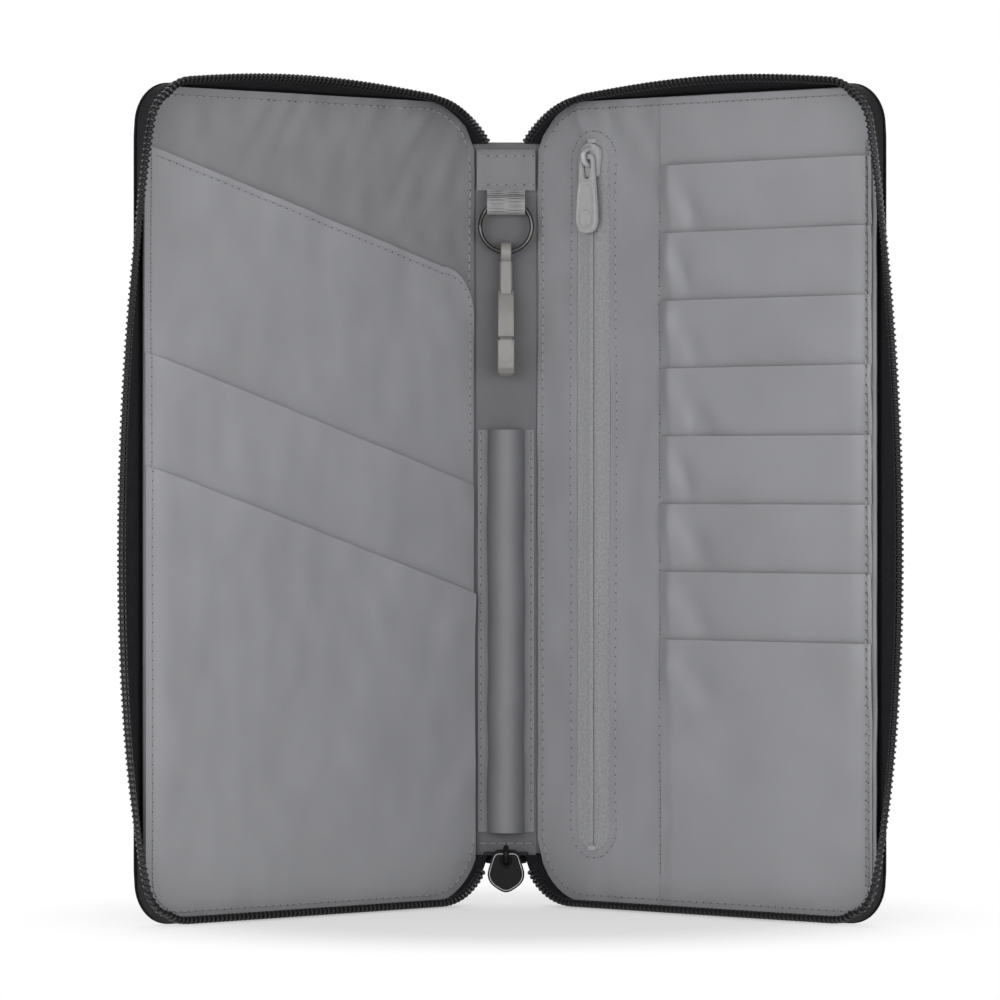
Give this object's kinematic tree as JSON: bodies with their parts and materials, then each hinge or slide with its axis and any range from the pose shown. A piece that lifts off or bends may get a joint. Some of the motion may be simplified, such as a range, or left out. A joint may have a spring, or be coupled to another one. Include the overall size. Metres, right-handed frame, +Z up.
{
  "type": "travel document wallet",
  "caption": "Zip-round travel document wallet that opens like a book, with stepped pockets, card slots, a zipped coin pocket, a pen loop and a key ring.",
  "frame": {"origin": "centre of the bounding box at its base, the surface that the wallet stands on", "axes": "+Z up along the covers' height, the longest extent; -Y is the open side, which faces the viewer; +X to the right"},
  "size_m": [0.251, 0.1134, 0.2728],
  "materials": {
    "outer_fabric": "matte",
    "foam": "matte",
    "lining": "satin",
    "zip_tape": "matte",
    "zip_teeth": "satin",
    "coin_zip_tape": "matte",
    "coin_zip_coil": "satin",
    "coin_zip_metal": "satin",
    "main_zip_metal": "satin",
    "webbing": "matte",
    "ring_steel": "polished",
    "clip_plastic": "satin"
  },
  "bodies": {
    "spine": {"spine_shell": "outer_fabric", "spine_foam": "foam", "spine_lining": "lining", "spine_top_band": "lining", "key_loop": "webbing", "pen_loop": "lining", "zip_tail": "zip_tape", "main_slider": "main_zip_metal"},
    "left_cover": {"left_cover_shell": "outer_fabric", "left_cover_foam": "foam", "left_lining": "lining", "document_pocket": "lining", "passport_pocket": "lining", "boarding_pass_pocket": "lining", "left_zip_tape": "zip_tape", "left_zip_teeth": "zip_teeth"},
    "right_cover": {"right_cover_shell": "outer_fabric", "right_cover_foam": "foam", "right_lining": "lining", "coin_pocket_bag": "lining", "coin_zip_tape_inner": "coin_zip_tape", "coin_zip_tape_outer": "coin_zip_tape", "coin_zip_coil": "coin_zip_coil", "coin_zip_top_stop": "coin_zip_metal", "coin_zip_bottom_stop": "coin_zip_metal", "card_slots": "lining", "right_zip_tape": "zip_tape", "right_zip_teeth": "zip_teeth"},
    "coin_slider": {"coin_slider": "coin_zip_metal"},
    "coin_puller": {"coin_puller": "coin_zip_metal"},
    "main_puller": {"main_puller": "main_zip_metal"},
    "key_ring": {"key_ring": "ring_steel"},
    "key_clip": {"key_clip": "clip_plastic"}
  },
  "joints": [
    {"name": "left_cover_fold", "type": "hinge", "parent": "spine", "child": "left_cover", "pos_m": [-0.01169, 0.05333, 0.13], "axis": [0, 0, -1], "range_deg": [-46.5, 43.5]},
    {"name": "right_cover_fold", "type": "hinge", "parent": "spine", "child": "right_cover", "pos_m": [0.00891, 0.05333, 0.13], "axis": [0, 0, 1], "range_deg": [-48, 42]},
    {"name": "coin_slide", "type": "slide", "parent": "right_cover", "child": "coin_slider", "axis": [0, 0, -1], "range_m": [0, 0.22]},
    {"name": "coin_puller_lift", "type": "hinge", "parent": "coin_slider", "child": "coin_puller", "pos_m": [0.02542, 0.03429, 0.2479], "axis": [-0.7431, 0.6691, 0], "range_deg": [0, 100]},
    {"name": "main_puller_lift", "type": "hinge", "parent": "spine", "child": "main_puller", "pos_m": [-0.00139, 0.03953, 0.0174], "axis": [-1, 0, 0], "range_deg": [0, 110]},
    {"name": "key_ring_swing", "type": "hinge", "parent": "spine", "child": "key_ring", "pos_m": [-0.00139, 0.04873, 0.2327], "axis": [-1, 0, 0], "range_deg": [0, 100]},
    {"name": "key_clip_swing", "type": "hinge", "parent": "key_ring", "child": "key_clip", "pos_m": [-0.00139, 0.04873, 0.21705], "axis": [-1, 0, 0], "range_deg": [0, 80]}
  ]
}
